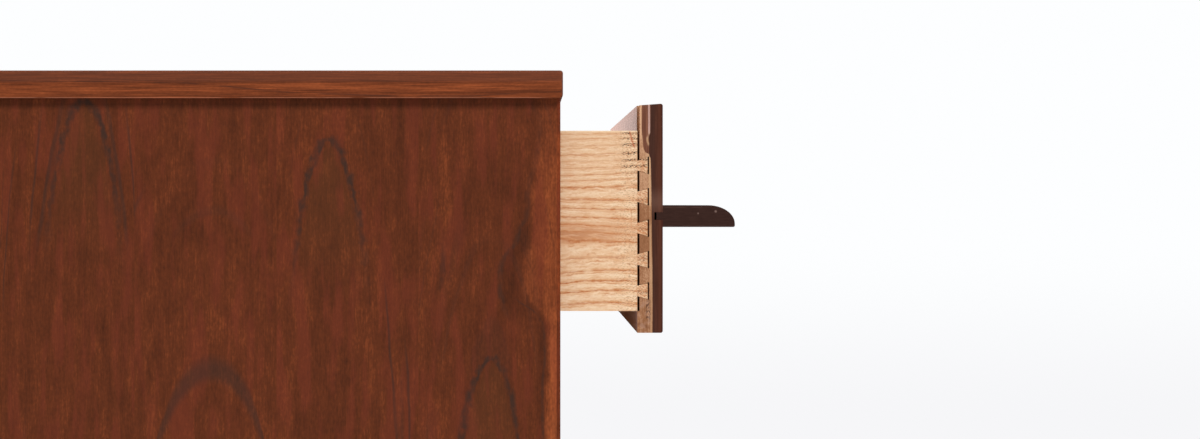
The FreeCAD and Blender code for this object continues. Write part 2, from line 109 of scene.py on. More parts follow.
# %% A material's shader
class Shader:
    """A new material, or the world's light, whose nodes are built from Python."""

    def __init__(self, name, kept_in=bpy.data.materials):
        self.owner = kept_in.new(name)
        self.owner.use_nodes = True
        self.tree = self.owner.node_tree
        self.tree.nodes.clear()

    def node(self, kind, settings=None, inputs=None, output=0):
        """Make a node. Settings come first; inputs are listed in order, or named in a dict."""
        made = self.tree.nodes.new(kind)
        for name, value in (settings or {}).items():
            if name == "stops":
                self.fill_ramp(made.color_ramp, value)
            elif name == "points":
                self.fill_curve(made.mapping, value)
            else:
                setattr(made, name, value)
        given = inputs if isinstance(inputs, dict) else dict(enumerate(inputs or []))
        for name, value in given.items():
            if isinstance(value, Socket):
                self.tree.links.new(value.output, made.inputs[name])
            else:
                made.inputs[name].default_value = value
        return Socket(self, made.outputs[output]) if len(made.outputs) else None

    @staticmethod
    def fill_ramp(ramp, stops):
        while len(ramp.elements) < len(stops):
            ramp.elements.new(1.0)
        for element, (place, colour) in zip(ramp.elements, stops):
            element.position = place
            element.color = colour

    @staticmethod
    def fill_curve(mapping, points):
        curve = mapping.curves[0]
        while len(curve.points) < len(points):
            curve.points.new(0.5, 0.5)
        for point, place in zip(curve.points, points):
            point.location = place
        mapping.update()

    def math(self, operation, *values):
        return self.node("ShaderNodeMath", {"operation": operation}, list(values))

    def place(self, x, y, z):
        return self.node("ShaderNodeCombineXYZ", inputs=[x, y, z])

    def noise(self, x, y, z, detail=2.0):
        """Smooth noise from 0 to 1, about one lump for each unit of x, y and z."""
        inputs = {"Vector": self.place(x, y, z), "Scale": 1.0, "Detail": detail}
        return self.node("ShaderNodeTexNoise", inputs=inputs)

    def swing(self, x, y, z, size, detail=2.0):
        """Noise around zero that reaches about size to each side."""
        return (self.noise(x, y, z, detail) - 0.5) * (size * 3.0)

    def rise(self, value, low, high):
        """A soft step: 0 below low and 1 above high. It falls instead if low is the greater."""
        settings = {"interpolation_type": "SMOOTHSTEP"}
        if low < high:
            return self.node("ShaderNodeMapRange", settings, [value, low, high, 0.0, 1.0])
        return self.node("ShaderNodeMapRange", settings, [value, high, low, 1.0, 0.0])

    def between(self, value, low, high, soft):
        """1 from low to high, with soft edges."""
        rising = self.rise(value, low - soft, low + soft)
        return rising * self.rise(value, high + soft, high - soft)

    def line(self, offset, reach, core):
        """A line along offset zero: 1 within core of it, fading to 0 at reach."""
        return self.rise(abs(offset), reach, core)

    def patches(self, x, y, z, low, high, detail=2.0):
        """Soft-edged patches: 1 where the noise is above high, 0 where it is below low."""
        return self.rise(self.noise(x, y, z, detail), low, high)

    def follow(self, value, *points):
        """The height of a smooth curve through (value, height) points."""
        start, end = points[0][0], points[-1][0]
        low = min(height for _, height in points)
        high = max(height for _, height in points)
        scaled = [((at - start) / (end - start), (up - low) / (high - low)) for at, up in points]
        inputs = {"Value": (value - start) / (end - start)}
        curve = self.node("ShaderNodeFloatCurve", {"points": scaled}, inputs)
        return curve * (high - low) + low

    def ramp(self, value, *stops):
        return self.node("ShaderNodeValToRGB", {"stops": stops}, [value])

    def mix(self, factor, below, above, how="MIX"):
        """Lay one colour over another; factor 1 shows only the one above."""
        settings = {"data_type": "RGBA", "blend_type": how}
        inputs = {MIX_FACTOR: factor, MIX_BELOW: below, MIX_ABOVE: above}
        return self.node("ShaderNodeMix", settings, inputs, output=MIX_RESULT)

    def split(self, vector):
        return [self.node("ShaderNodeSeparateXYZ", inputs=[vector], output=i) for i in range(3)]

    def millimetres(self):
        """The point's own place in the model, as x, y and z in millimetres."""
        inputs = {0: self.node("ShaderNodeTexCoord", output="Object"), "Scale": 1 / MM}
        return self.split(self.node("ShaderNodeVectorMath", {"operation": "SCALE"}, inputs))

    def facing(self):
        """The way the surface faces, as x, y and z from -1 to 1."""
        return self.split(self.node("ShaderNodeTexCoord", output="Normal"))

    def finish(
        self, colour, roughness, height=None, relief=0.1, specular=0.06, metallic=0.0, tint=WHITE
    ):
        """End in a Principled surface; height is in millimetres and becomes a bump."""
        inputs = {
            "Base Color": colour,
            "Roughness": roughness,
            "Specular IOR Level": specular,
            "Metallic": metallic,
            "Specular Tint": tint,
        }
        if height is not None:
            bump = {"Strength": relief, "Distance": MM, "Height": height}
            inputs["Normal"] = self.node("ShaderNodeBump", inputs=bump)
        surface = self.node("ShaderNodeBsdfPrincipled", inputs=inputs)
        self.node("ShaderNodeOutputMaterial", inputs={"Surface": surface})
        return self.owner


# %% [markdown]
# Colours are easiest to choose as a picture program shows them, from 0 to 255. Blender mixes
# linear light, so each one is converted once, here.


# %% Colours as a picture program shows them
def paint(red, green, blue):
    """Turn 0 to 255 picture values into Blender's linear colour."""
    shares = [value / 255 for value in (red, green, blue)]
    linear = [s / 12.92 if s <= 0.04045 else ((s + 0.055) / 1.055) ** 2.4 for s in shares]
    return (*linear, 1.0)


def dress(names, material):
    """Give the named pieces one finish."""
    for name in names:
        slots = nodes[name].data.materials
        slots.clear()
        slots.append(material)
    print(material.name, "on", len(names), "pieces")


def dress_drawers(endings, make_finish):
    """Dress the same pieces of every drawer; each drawer's board has a figure of its own."""
    for number in range(1, drawer_count + 1):
        dress([f"drawer_{number}_{ending}" for ending in endings], make_finish(number))


# %% [markdown]
# ## The camera
#
# The camera looks straight along the width of the chest, at the height of the pull, so that
# the side panel, the drawer's side and the end of its front are seen square on. It stands
# well back, so that the joint isn't distorted. Its distance and the size that the drawer
# front shall have in the render give the lens, and a small shift of the lens sets the point
# where all lines along the width meet.

# %% Camera
picture_width = 1200
picture_height = 439
meeting_x = 526.2               # where lines along the chest's width meet, in pixels
meeting_y = 204.6
pixels_per_metre = 1236.1       # at the near end of the drawer front
eye_distance = 2.7              # from the near end of the drawer front
eye_behind_front = 0.0275       # behind the case's front edges
eye_below_front_top = 0.0816    # below the top edge of the uppermost drawer front

near_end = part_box("drawer_1_front")[0].x
front_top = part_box("drawer_1_front")[1].z
camera = bpy.data.objects.new("camera", bpy.data.cameras.new("camera"))
camera.location = (
    near_end - eye_distance,
    case_front * MM + eye_behind_front,
    front_top - eye_below_front_top,
)
camera.rotation_mode = "QUATERNION"
camera.rotation_quaternion = Vector((1.0, 0.0, 0.0)).to_track_quat("-Z", "Y")
camera.data.sensor_width = 36.0
camera.data.lens = pixels_per_metre * eye_distance / picture_width * camera.data.sensor_width
camera.data.shift_x = (picture_width / 2 - meeting_x) / picture_width
camera.data.shift_y = -(picture_height / 2 - meeting_y) / picture_width
bpy.context.scene.collection.objects.link(camera)
bpy.context.scene.camera = camera
bpy.context.scene.view_settings.view_transform = "Standard"
print("lens", round(camera.data.lens, 1), "mm")

# %% [markdown]
# ## The room
#
# A plain, even room: a pale sky lights every side. The Light Path node shows the camera a
# nearly white backdrop in place of that sky, so the wood is never over-lit for the
# backdrop's sake. The backdrop is a shade greyer below eye height, where a studio's paper
# sweep turns into the floor.

# %% Sky and backdrop
sky_light = 0.42
sweep_low, sweep_high = -0.065, -0.01      # how far down the view the backdrop changes
backdrop_below = paint(246, 246, 248)
backdrop_above = paint(253, 254, 255)

room = Shader("pale_room", bpy.data.worlds)
bpy.context.scene.world = room.owner
direct, mirrored, refracted = [
    room.node("ShaderNodeLightPath", output=ray)
    for ray in ("Is Camera Ray", "Is Glossy Ray", "Is Transmission Ray")
]
seen = room.math("MAXIMUM", room.math("MAXIMUM", direct, mirrored), refracted)
view_up = room.split(room.node("ShaderNodeTexCoord", output="Generated"))[2]
backdrop_colour = room.mix(
    room.rise(view_up, sweep_low, sweep_high), backdrop_below, backdrop_above
)
sky = room.node("ShaderNodeBackground", inputs={"Color": WHITE, "Strength": sky_light})
backdrop = room.node("ShaderNodeBackground", inputs={"Color": backdrop_colour, "Strength": 1.0})
shown = room.node("ShaderNodeMixShader", inputs=[seen, sky, backdrop])
room.node("ShaderNodeOutputWorld", inputs=[shown])
print(room.owner.name, "lights with", sky_light)

# %% [markdown]
# Soft suns give the boards their form. A sun is used because it lights the floor as evenly
# as the chest, where an area lamp would leave a bright pool. The strongest one comes from
# high on the left, so the overhang of the top lays a narrow soft shadow on the side panel.


# %% Suns
def sun(name, towards, strength, spread):
    """A far lamp; towards points from the chest to it, spread is its width in radians."""
    lamp = bpy.data.objects.new(name, bpy.data.lights.new(name, "SUN"))
    lamp.data.energy = strength
    lamp.data.angle = spread
    lamp.rotation_mode = "QUATERNION"
    lamp.rotation_quaternion = Vector(towards).normalized().to_track_quat("Z", "Y")
    bpy.context.scene.collection.objects.link(lamp)
    print(name, "of strength", strength)


sun("key_sun", towards=(-1.0, -0.45, 1.15), strength=2.4, spread=0.35)
sun("front_sun", towards=(0.6, -1.0, 0.35), strength=1.4, spread=0.5)
sun("rear_sun", towards=(0.5, 1.0, 0.3), strength=1.3, spread=0.5)

# %% [markdown]
# The chest stands on a wide pale floor. It is nearly white and quite rough, so it keeps the
# soft shadow of the piece and throws a little light back under it.

# %% Floor
floor_half = 9.0
floor_mesh = bpy.data.meshes.new("floor")
floor_signs = ((-1, -1), (1, -1), (1, 1), (-1, 1))
floor_corners = [(x * floor_half, y * floor_half, 0.0) for x, y in floor_signs]
floor_mesh.from_pydata(floor_corners, [], [(0, 1, 2, 3)])
floor = bpy.data.objects.new("floor", floor_mesh)
bpy.context.scene.collection.objects.link(floor)
floor_mesh.materials.append(Shader("floor_paint").finish(paint(227, 227, 229), roughness=0.9))
print("floor", 2 * floor_half, "m wide")

# %% [markdown]
# ## How a board of walnut is drawn
#
# A tree is a stack of wobbly cones, one a year. A board is a flat cut through them: cut along
# the trunk, the cones show as long streaks, and where the cut just touches a cone, the
# streaks close into the pointed arches that joiners call cathedral figure. So the pattern is
# drawn from the distance to the heart of the tree, which changes slowly along the board. That
# one sum gives streaks, arches and, on a sawn end, rings.


# %% Distance to the heart of the tree
def grain_axes(shader, grain):
    """The point's place as (along, across, through) the grain, in millimetres."""
    x, y, z = shader.millimetres()
    return {"x": (x, z, y), "y": (y, z, x), "z": (z, y, x)}[grain]


def heart_distance(shader, along, side, depth, seed=0.0):
    """Distance from the heart to a point side and depth away, with the trunk's slow wander."""
    drift = shader.swing(side / 40, along / 130, seed, 3.0)
    tremor = shader.swing(side / 8, along / 30, seed + 5.0, 0.7)
    side = side + drift + tremor
    return (side * side + depth * depth) ** 0.5


# %% [markdown]
# Walnut's colour is never even. Broad bands a finger wide change from chocolate to orange
# brown, finer streaks run inside them, and a soft mottling lies over all. Each layer is one
# noise, squeezed across the grain and stretched along it. Their sum picks a colour from a
# short ramp of tones, mixed to the warm red brown of an old oil finish.

# %% Tones of walnut
WALNUT_TONES = (
    (0.00, paint(60, 29, 15)),
    (0.30, paint(81, 39, 20)),
    (0.50, paint(95, 46, 24)),
    (0.70, paint(120, 59, 31)),
    (1.00, paint(160, 82, 44)),
)
WALNUT_MIDDLE = 0.44
WALNUT_LAYERS = (
    # width across and length along the grain in mm, seed, strength, detail
    (3.4, 90, 2.0, 0.10, 3.0),      # streaks
    (0.9, 12, 3.0, 0.11, 1.0),      # fibres
    (1.6, 3.5, 5.0, 0.13, 1.0),     # grit
    (9, 20, 4.0, 0.13, 2.0),        # mottling
)
DARK_LINE = paint(54, 34, 28)
RED_CLOUD = paint(116, 50, 34)


# %% Layers of walnut
def walnut_tone(shader, ring, along, across, seed=0.0):
    """How light the wood is, from 0 to 1."""
    tone = shader.swing(ring / 8.5, along / 480, seed + 1.0, 0.12)
    for width, length, layer_seed, strength, detail in WALNUT_LAYERS:
        layer_seed = seed + layer_seed
        tone = tone + shader.swing(across / width, along / length, layer_seed, strength, detail)
    return tone + WALNUT_MIDDLE


def year_lines(shader, ring, along, seed=0.0):
    """Thin dark lines where a slow noise passes its middle, strong here and gone there."""
    level = shader.noise(ring / 16, along / 900, seed + 9.0, 1.0)
    line = shader.line(level - 0.5, 0.025, 0.004)
    presence = shader.patches(ring / 30, along / 110, seed + 6.0, 0.45, 0.6, 1.0)
    return line * presence


def pores(shader, along, across):
    """Short dark scratches along the grain."""
    return shader.patches(across / 0.45, along / 8, 0.0, 0.62, 0.74, 1.0)


def warm_and_pitted(shader, colour, along, across, pits, seed=0.0):
    """Redder clouds, and the dark dots of the pores."""
    red = shader.patches(across / 11, along / 70, seed + 7.0, 0.46, 0.66)
    colour = shader.mix(red * 0.35, colour, RED_CLOUD)
    return shader.mix(pits * 0.3, colour, DARK_LINE)


# %% [markdown]
# One function makes any plain walnut piece. It takes the way the grain runs and how dark the
# finish has turned the wood. A worn satin finish is mostly rough, with slightly glossier
# late wood, and the pores are real dents, so they go into the bump as well as the colour.


# %% A plain walnut finish
def oiled(shader, colour, roughness, tone, pits):
    """Old oil: the light wood a little glossier, the pores duller and sunk."""
    relief = pits * -0.05 + tone * 0.02
    return shader.finish(colour, roughness - tone * 0.1 + pits * 0.1, relief)


def plain_walnut(
    name, grain, shade=(255, 255, 255), heart=0.0, seed=0.0, roughness=0.55, paler=()
):
    """Walnut tinted by shade; heart is the tree's middle, paler (along, how much) points."""
    shader = Shader(name)
    along, across, through = grain_axes(shader, grain)
    depth = through * 0.6 + along * 0.04 + 60
    ring = heart_distance(shader, along, across - heart, depth, seed)
    across = across + through
    tone = walnut_tone(shader, ring, along, across, seed)
    if paler:
        tone = tone + shader.follow(along, *paler)
    pits = pores(shader, along, across)
    colour = shader.ramp(tone, *WALNUT_TONES)
    colour = shader.mix(year_lines(shader, ring, along, seed) * 0.7, colour, DARK_LINE)
    colour = warm_and_pitted(shader, colour, along, across, pits, seed)
    colour = shader.mix(1.0, colour, paint(*shade), "MULTIPLY")
    return oiled(shader, colour, roughness, tone, pits)


# %% [markdown]
# ## The side panels
#
# Each side is veneered with four leaves of flat-cut walnut laid side by side. The leaves come
# from one log, each sliced a little deeper and slipped a little along, so the figure repeats
# but never exactly. The leaf behind the drawers' edge carries a cathedral arch with a dark
# outline two hands' breadth below the top, an oily patch inside it, and dark mineral lines
# that wander down above and beside it. The arch comes from the heart distance; the lines are
# curves given point by point, because a mineral streak follows no ring.

# %% Side panel sizes, in millimetres
leaf_width = 114.0
leaf_slip = 260.0               # how far a leaf may be slipped along the log
leaf_sway = 16.0                # how far its arch may stand off the leaf's usual middle
arch_centre = 55.7              # of the first leaf's arch, behind the case's front edge
arch_below = 209.0              # its point, below the top of the side
arch_ring = 47.5                # distance to the heart at its point
arch_length = 475.0             # how slowly the arch opens downwards
arch_whole = 30.0               # below its point, to where its outline is whole
arch_gone = 150.0               # below its point, to where it has faded away
MINERAL_LINE = paint(54, 39, 32)
OILY_PATCH = paint(76, 46, 25)

# %% Side panel curves, as (below the top of the side, behind the case's front edge) points
PALE_EDGE = (
    (-20, 17), (40, 18), (75, 23), (115, 27), (145, 29), (160, 26), (168, 20), (176, 13),
    (190, 10), (300, 12), (700, 6), (1200, 16),
)
RIBBON = ((0, 96), (26, 95.5), (60, 94), (100, 90), (128, 89), (170, 97), (215, 106))
UPPER_LINE = (
    (0, 15), (42, 18.2), (77, 26.3), (94, 27.1), (104, 32.7), (117, 36.7), (124, 42.3),
    (131, 46.9), (143, 48.4), (156, 48.2), (166, 45.5), (182, 40),
)
LOWER_LINE = (
    (160, 37), (165, 31), (168, 25.4), (172.4, 19.9), (179.7, 15.4), (188, 13), (203, 12.5),
    (232, 14.3), (274, 14), (420, 10), (700, 7),
)
PALE_STRENGTH = (               # (below the top of the side, how much lighter) points
    (-20, 0.16), (60, 0.16), (95, 0.2), (115, 0.27), (160, 0.25), (185, 0.3), (210, 0.42),
    (400, 0.42), (1200, 0.36),
)

# %% [markdown]
# Sapwood leaves a pale edge along the front of the leaf, a little paler again not far below
# the top. Further back stand a soft glow and a thin paler ribbon. Right under the top a band
# of painted shadow darkens the wood below the overhang.


# %% Pale areas of the side panel
def pale_areas(shader, tone, across, below, wobble, first):
    """Lift the tone in the pale areas, and darken a band of painted shadow right under the top."""
    pale = shader.rise(shader.follow(below, *PALE_EDGE) - across + wobble, -3.5, 3.5)
    # Painted shadow: a darker band just below the overhang of the top.
    painted_shadow_under_top = shader.between(below, 4.5, 8.5, 1.8)
    tone = tone + pale * shader.follow(below, *PALE_STRENGTH) - painted_shadow_under_top * 0.13
    tone = tone + shader.between(below, 45, 95, 14) * shader.rise(across, 15, 8) * 0.12
    far_glow = shader.between(across, 90, 112, 5)
    far_glow = far_glow * shader.rise(below, 200, 260) * shader.rise(below, 520, 400)
    tone = tone + far_glow * first * 0.09
    off_ribbon = across - shader.follow(below, *RIBBON)
    ribbon = shader.line(off_ribbon + wobble * 2, 6.0, 2.0) * shader.rise(below, 8, 30)
    ribbon = ribbon * shader.rise(below, 200, 160) * first
    return tone + ribbon * 0.11


# %% Mineral lines of the side panel
def streak(shader, across, line, width, presence):
    """A dark line of some width around the curve line, as strong as presence."""
    return shader.line(across - line, width, width * 0.25) * presence


def mineral_lines(shader, tone, across, below, wobble, blotch):
    """The tone with a brown shade beside the lines, and the strength of the lines."""
    upper = shader.follow(below, *UPPER_LINE)
    near_upper = (shader.rise(below, 60, 115) * 0.3 + 0.18) * shader.rise(below, 182, 160)
    near_upper = near_upper * blotch * shader.rise(below, 6, 20)
    upper_streak = streak(shader, across + wobble, upper, 3.4, near_upper)
    upper_shade = shader.between(upper - across, 0, 14, 4.0) * shader.rise(below, 85, 115)
    upper_shade = upper_shade * shader.rise(below, 182, 164)

    lower = shader.follow(below, *LOWER_LINE)
    near_lower = shader.rise(below, 158, 166) * shader.rise(below, 640, 330)
    near_lower = near_lower * blotch * 0.5
    lower_streak = streak(shader, across + wobble * 0.5, lower, 1.7, near_lower)
    lower_shade = shader.between(across - lower, 0.5, 5.5, 2.0) * shader.rise(below, 175, 200)
    lower_shade = lower_shade * shader.rise(below, 660, 380)

    beside_ribbon = shader.follow(below, *RIBBON) + 5
    near_ribbon = shader.between(below, 118, 150, 14) * blotch * 0.4
    ribbon_streak = streak(shader, across + wobble, beside_ribbon, 3.5, near_ribbon)

    lines = shader.math("MAXIMUM", upper_streak, lower_streak)
    lines = shader.math("MAXIMUM", lines, ribbon_streak)
    return tone - upper_shade * 0.2 - lower_shade * 0.1, lines


# %% The arch
def cathedral_arch(shader, ring, along, offset, across, below, wobble, blotch):
    """The arch's dark outline and the oily patch inside it, each from 0 to 1."""
    slope = abs(offset) / ring + arch_ring / arch_length
    to_arch = (ring - arch_ring) / slope
    fade = shader.rise(along, arch_below + arch_gone, arch_below + arch_whole)
    smear = shader.patches(across / 6, below / 26, 2.0, 0.35, 0.6, 1.0) * 2.0 + 2.1
    outline = shader.rise(abs(to_arch + wobble * 1.4) / smear, 1.0, 0.15)
    return outline * fade * blotch * 0.85, shader.rise(to_arch, 1.0, -6.0) * fade


# %% Side panel finish
def side_veneer():
    """One finish for both sides: four leaves, the first with the lines and the ribbon."""
    shader = Shader("case_walnut")
    _, y, z = shader.millimetres()
    across = y - case_front
    below = case_top - z
    leaf = shader.math("FLOOR", across / leaf_width)
    first = shader.math("LESS_THAN", leaf, 0.5)
    seed = leaf * 13.7
    along = below + shader.math("SINE", leaf * 2.4) * leaf_slip
    middle = shader.math("SINE", leaf * 1.7) * leaf_sway + arch_centre
    offset = across - leaf * leaf_width - middle
    depth = shader.math("EXPONENT", (arch_below - along) / arch_length) * arch_ring
    ring = heart_distance(shader, along, offset, depth, seed)
    wobble = shader.swing(across / 5, below / 9, 3.0, 1.1)
    blotch = shader.patches(across / 7, below / 10, 6.0, 0.3, 0.62) * 0.7 + 0.3

    tone = walnut_tone(shader, ring, along, across, seed)
    tone = pale_areas(shader, tone, across, below, wobble, first)
    tone, lines = mineral_lines(shader, tone, across, below, wobble, blotch)
    outline, inside = cathedral_arch(
        shader, ring, along, offset, across, below, wobble, blotch
    )
    fine = year_lines(shader, ring, along, seed) * (1 - first * 0.7) * 0.55
    lines = shader.math("MAXIMUM", lines * first, outline)
    lines = shader.math("MAXIMUM", lines, fine)

    pits = pores(shader, below, across)
    colour = shader.ramp(tone, *WALNUT_TONES)
    colour = shader.mix(inside * 0.42, colour, OILY_PATCH)
    colour = warm_and_pitted(shader, colour, below, across, pits, seed)
    colour = shader.mix(lines, colour, MINERAL_LINE)
    return oiled(shader, colour, 0.58, tone, pits)


dress(["case_side_left", "case_side_right"], side_veneer())

# %% [markdown]
# A solid strip of walnut hides the veneer's edge at the front of each side. It is a plainer
# stick of the same wood, chosen so that its lighter parts carry on the pale edge beside it.

# %% Edge strips
STRIP_PALER = (                 # (below the top of the side, how much lighter) points
    (1200, 0.14), (400, 0.1), (250, 0.03), (200, 0.03), (165, 0.24), (115, 0.27), (65, 0.29),
    (20, 0.1), (-5, 0.09),
)
strip_heights = [(case_top - below, paler) for below, paler in STRIP_PALER]
strip_walnut = plain_walnut(
    "edge_walnut", "z", shade=(255, 244, 240), heart=case_front, seed=7.0, paler=strip_heights
)
dress(["side_edge_band_left", "side_edge_band_right"], strip_walnut)

# %% [markdown]
# ## The top
#
# The top board has solid lippings that meet in mitres. The side lippings are seen close up:
# one orange band rises gently towards the front between browner wood above and below, and a
# thin dark streak runs beside it. A painted highlight marks the lower arris as a hair line.

# %% Side lipping curves, as (behind the case's front edge, above its top) points
LIPPING_GLOW = (
    (-5, 11.0), (25, 10.2), (50, 9.8), (75, 8.4), (100, 7.4), (200, 9.0), (320, 6.4),
    (460, 9.0),
)
LIPPING_DARK = (
    (-5, 5.2), (20, 4.6), (50, 3.0), (85, 1.7), (200, 4.0), (320, 12.5), (460, 14.0),
)


# %% Side lippings
def side_lipping():
    shader = Shader("lipping_walnut")
    x, y, z = shader.millimetres()
    along = y - case_front
    up = z - case_top
    sway = shader.swing(along / 40, up / 9, 0.0, 0.6)
    glow = shader.line(up - shader.follow(along, *LIPPING_GLOW) + sway, 4.6, 1.2)
    dark = shader.line(up - shader.follow(along, *LIPPING_DARK) + sway, 1.1, 0.2)
    dark = dark * shader.patches(along / 45, 2.0, 0.0, 0.4, 0.55, 1.0)
    bands = shader.swing(up / 2.0, x / 2.0, along / 90, 0.14)
    streaks = shader.swing(up / 0.8, x / 0.8, along / 30, 0.22, 1.0)
    grit = shader.swing(along / 3.5, up / 1.2, 7.0, 0.08, 1.0)
    foot = shader.rise(up, 5.0, 2.5)
    tone = bands + streaks + grit + glow * 0.18 + foot * 0.08 + 0.55

    colour = shader.ramp(tone, *WALNUT_TONES)
    colour = shader.mix(shader.rise(up, 11.5, 15.0) * 0.25, colour, paint(112, 70, 56))
    colour = shader.mix(dark * 0.45, colour, DARK_LINE)
    # Painted highlight: a broken pale hair line along the lower arris, where it catches the light.
    broken = shader.patches(along / 25, 0.0, 0.0, 0.3, 0.5, 1.0)
    hair = shader.between(up, 0.2, 0.6, 0.15) * broken * shader.rise(along, 2, 25)
    colour = shader.mix(hair * 0.45, colour, paint(190, 130, 104))
    return shader.finish(colour, 0.52, tone * 0.03)


dress(["top_lipping_left", "top_lipping_right"], side_lipping())

# %% Front lipping and top board
front_lipping_walnut = plain_walnut(
    "front_lipping_walnut", "x", shade=(252, 246, 246), heart=case_top, seed=3.0
)
dress(["top_lipping_front"], front_lipping_walnut)
top_walnut = plain_walnut(
    "top_walnut", "x", shade=(255, 246, 240), heart=case_top - 90, seed=11.0, roughness=0.48
)
dress(["top_panel"], top_walnut)

# %% [markdown]
# ## Drawer sides of oak
#
# The drawer sides are flat-sawn oak under clear lacquer. Each year shows as a thin orange
# line where the open early wood was cut, fading through cream to straw until the next line.
# The lines are drawn as the sharp edge of a saw-tooth wave: one wave every few millimetres
# down the board, bent by gentle curves so that no two lines are parallel. Noise breaks them
# into dashes, as the pores do.

# %% Oak tones
OAK_YEAR = (
    (0.00, paint(168, 90, 44)),
    (0.04, paint(186, 110, 60)),
    (0.12, paint(222, 179, 138)),
    (0.45, paint(234, 205, 172)),
    (0.80, paint(224, 184, 145)),
    (0.94, paint(202, 142, 94)),
    (1.00, paint(168, 90, 44)),
)
OAK_BETWEEN = paint(227, 190, 152)
OAK_CLOUD = paint(206, 152, 112)


# %% Oak years
def oak_years(shader, year, along, down, seed=0.0, bold=1.0):
    """Colour of flat-sawn oak; year counts the years, bold is how dark their lines are."""
    tremor = shader.swing(along / 15, down / 6, seed, 0.12)
    year = year + tremor + shader.swing(along / 3.5, down / 2, seed, 0.07)
    share = shader.math("FRACT", year)
    strength = shader.patches(along / 11, year * 0.8, seed + 3.0, 0.28, 0.56, 3.0)
    strength = (strength * 0.7 + 0.3) * bold
    colour = shader.mix(strength, OAK_BETWEEN, shader.ramp(share, *OAK_YEAR))

    extra = shader.line(shader.math("FRACT", year * 1.37 + 0.3) - 0.5, 0.09, 0.01)
    extra = extra * shader.patches(along / 14, year * 1.7, seed + 13.0, 0.48, 0.62)
    colour = shader.mix(extra * 0.65, colour, paint(188, 114, 66))
    second = shader.line(share - 0.27, 0.07, 0.01)
    second = second * shader.patches(along / 13, year * 0.9, seed + 23.0, 0.44, 0.6)
    colour = shader.mix(second * 0.65, colour, paint(194, 122, 74))

    hairs = shader.patches(along / 12, year * 6, seed, 0.48, 0.68)
    glints = shader.patches(along / 9, year * 6, seed + 6.0, 0.48, 0.68)
    clouds = shader.patches(along / 26, down / 9, seed + 9.0, 0.48, 0.72)
    grit = shader.patches(along / 2.4, down / 1.2, seed + 15.0, 0.45, 0.75, 1.0)
    colour = shader.mix(hairs * 0.45, colour, paint(202, 138, 90))
    colour = shader.mix(glints * 0.45, colour, paint(242, 216, 184))
    colour = shader.mix(clouds * 0.25, colour, OAK_CLOUD)
    colour = shader.mix(grit * 0.3, colour, OAK_CLOUD)
    return colour, share


def lacquered(shader, colour, share, relief, strength=0.1):
    """Thin clear lacquer, a little glossier towards the end of each year."""
    return shader.finish(colour, 0.6 - share * 0.08, relief, strength)


# %% [markdown]
# The side of the open drawer has one board's own figure. Its lines climb gently towards the
# front in the upper half, fall in the middle, where one brown band crosses the board, and
# bulge below. The three curves say how the lines lean, which year lies at which depth, and
# how boldly the years show.

# %% Curves of a drawer side; the first number is below its top edge, in millimetres
OAK_LEAN = (
    (0, -0.015), (25, -0.04), (45, -0.05), (55, 0.015), (69, 0.045), (80, 0.07), (88, 0.045),
    (99, -0.03), (146, -0.01),
)
OAK_YEAR_AT = (
    (-10, -2.5), (2, 0), (6, 1), (11, 2), (18, 3), (28.5, 5), (34, 6), (44, 8), (56.5, 9),
    (64, 10), (79, 12), (84.5, 13), (90, 14), (103, 15), (113.5, 16), (122, 17), (130, 18),
    (140, 19), (290, 39),
)
OAK_BOLD = (
    (-10, 0.45), (20, 0.5), (34, 0.7), (44, 0.9), (75, 0.92), (88, 1.1), (103, 0.6),
    (113, 0.85), (130, 1.1), (145, 0.95), (290, 0.9),
)
SPLIT_LINE = ((0, 6.2), (6, 4.8), (9, 4.0), (14.5, 1.8))

# %% Places on a drawer side, in millimetres below its top edge
band_top, band_foot = 73, 91    # the warm band across the board
brown_top, brown_foot = 79, 90  # the browner wood inside it
band_step = 43                  # how much lower the band lies on each next drawer
scribe_top, scribe_foot = 64, 79
scribe_behind = 5.0             # the scribed line, behind the drawer front


# %% The board's own figure
def board_years(shader, behind, down):
    """Which year of the tree lies at a point of the side, and how boldly it shows."""
    reach = shader.math("TANH", behind / 70) * 70
    bulge = shader.rise(down, 88, 104) * shader.math("SINE", behind / 19)
    bulge = bulge * shader.rise(behind, 70, 50) * 1.6
    level = down + reach * shader.follow(down, *OAK_LEAN) + bulge
    return shader.follow(level, *OAK_YEAR_AT), shader.follow(level, *OAK_BOLD)


def brown_band(shader, colour, behind, down, year, shift, seed):
    """The warm band across the board, browner in its lower half, and the warmer tails."""
    warm = shader.between(down, band_top + shift, band_foot + shift, 4) * 0.45
    warm = warm + shader.rise(behind, 1.5, -0.5) * 0.4
    colour = shader.mix(warm, colour, paint(198, 136, 92))
    brown = shader.between(down, brown_top + shift, brown_foot + shift, 3)
    brown = brown * shader.rise(behind, 5, 50)
    brown = brown * shader.patches(behind / 16, year * 2, seed + 28.0, 0.35, 0.55)
    return shader.mix(brown * 0.65, colour, paint(182, 118, 76))
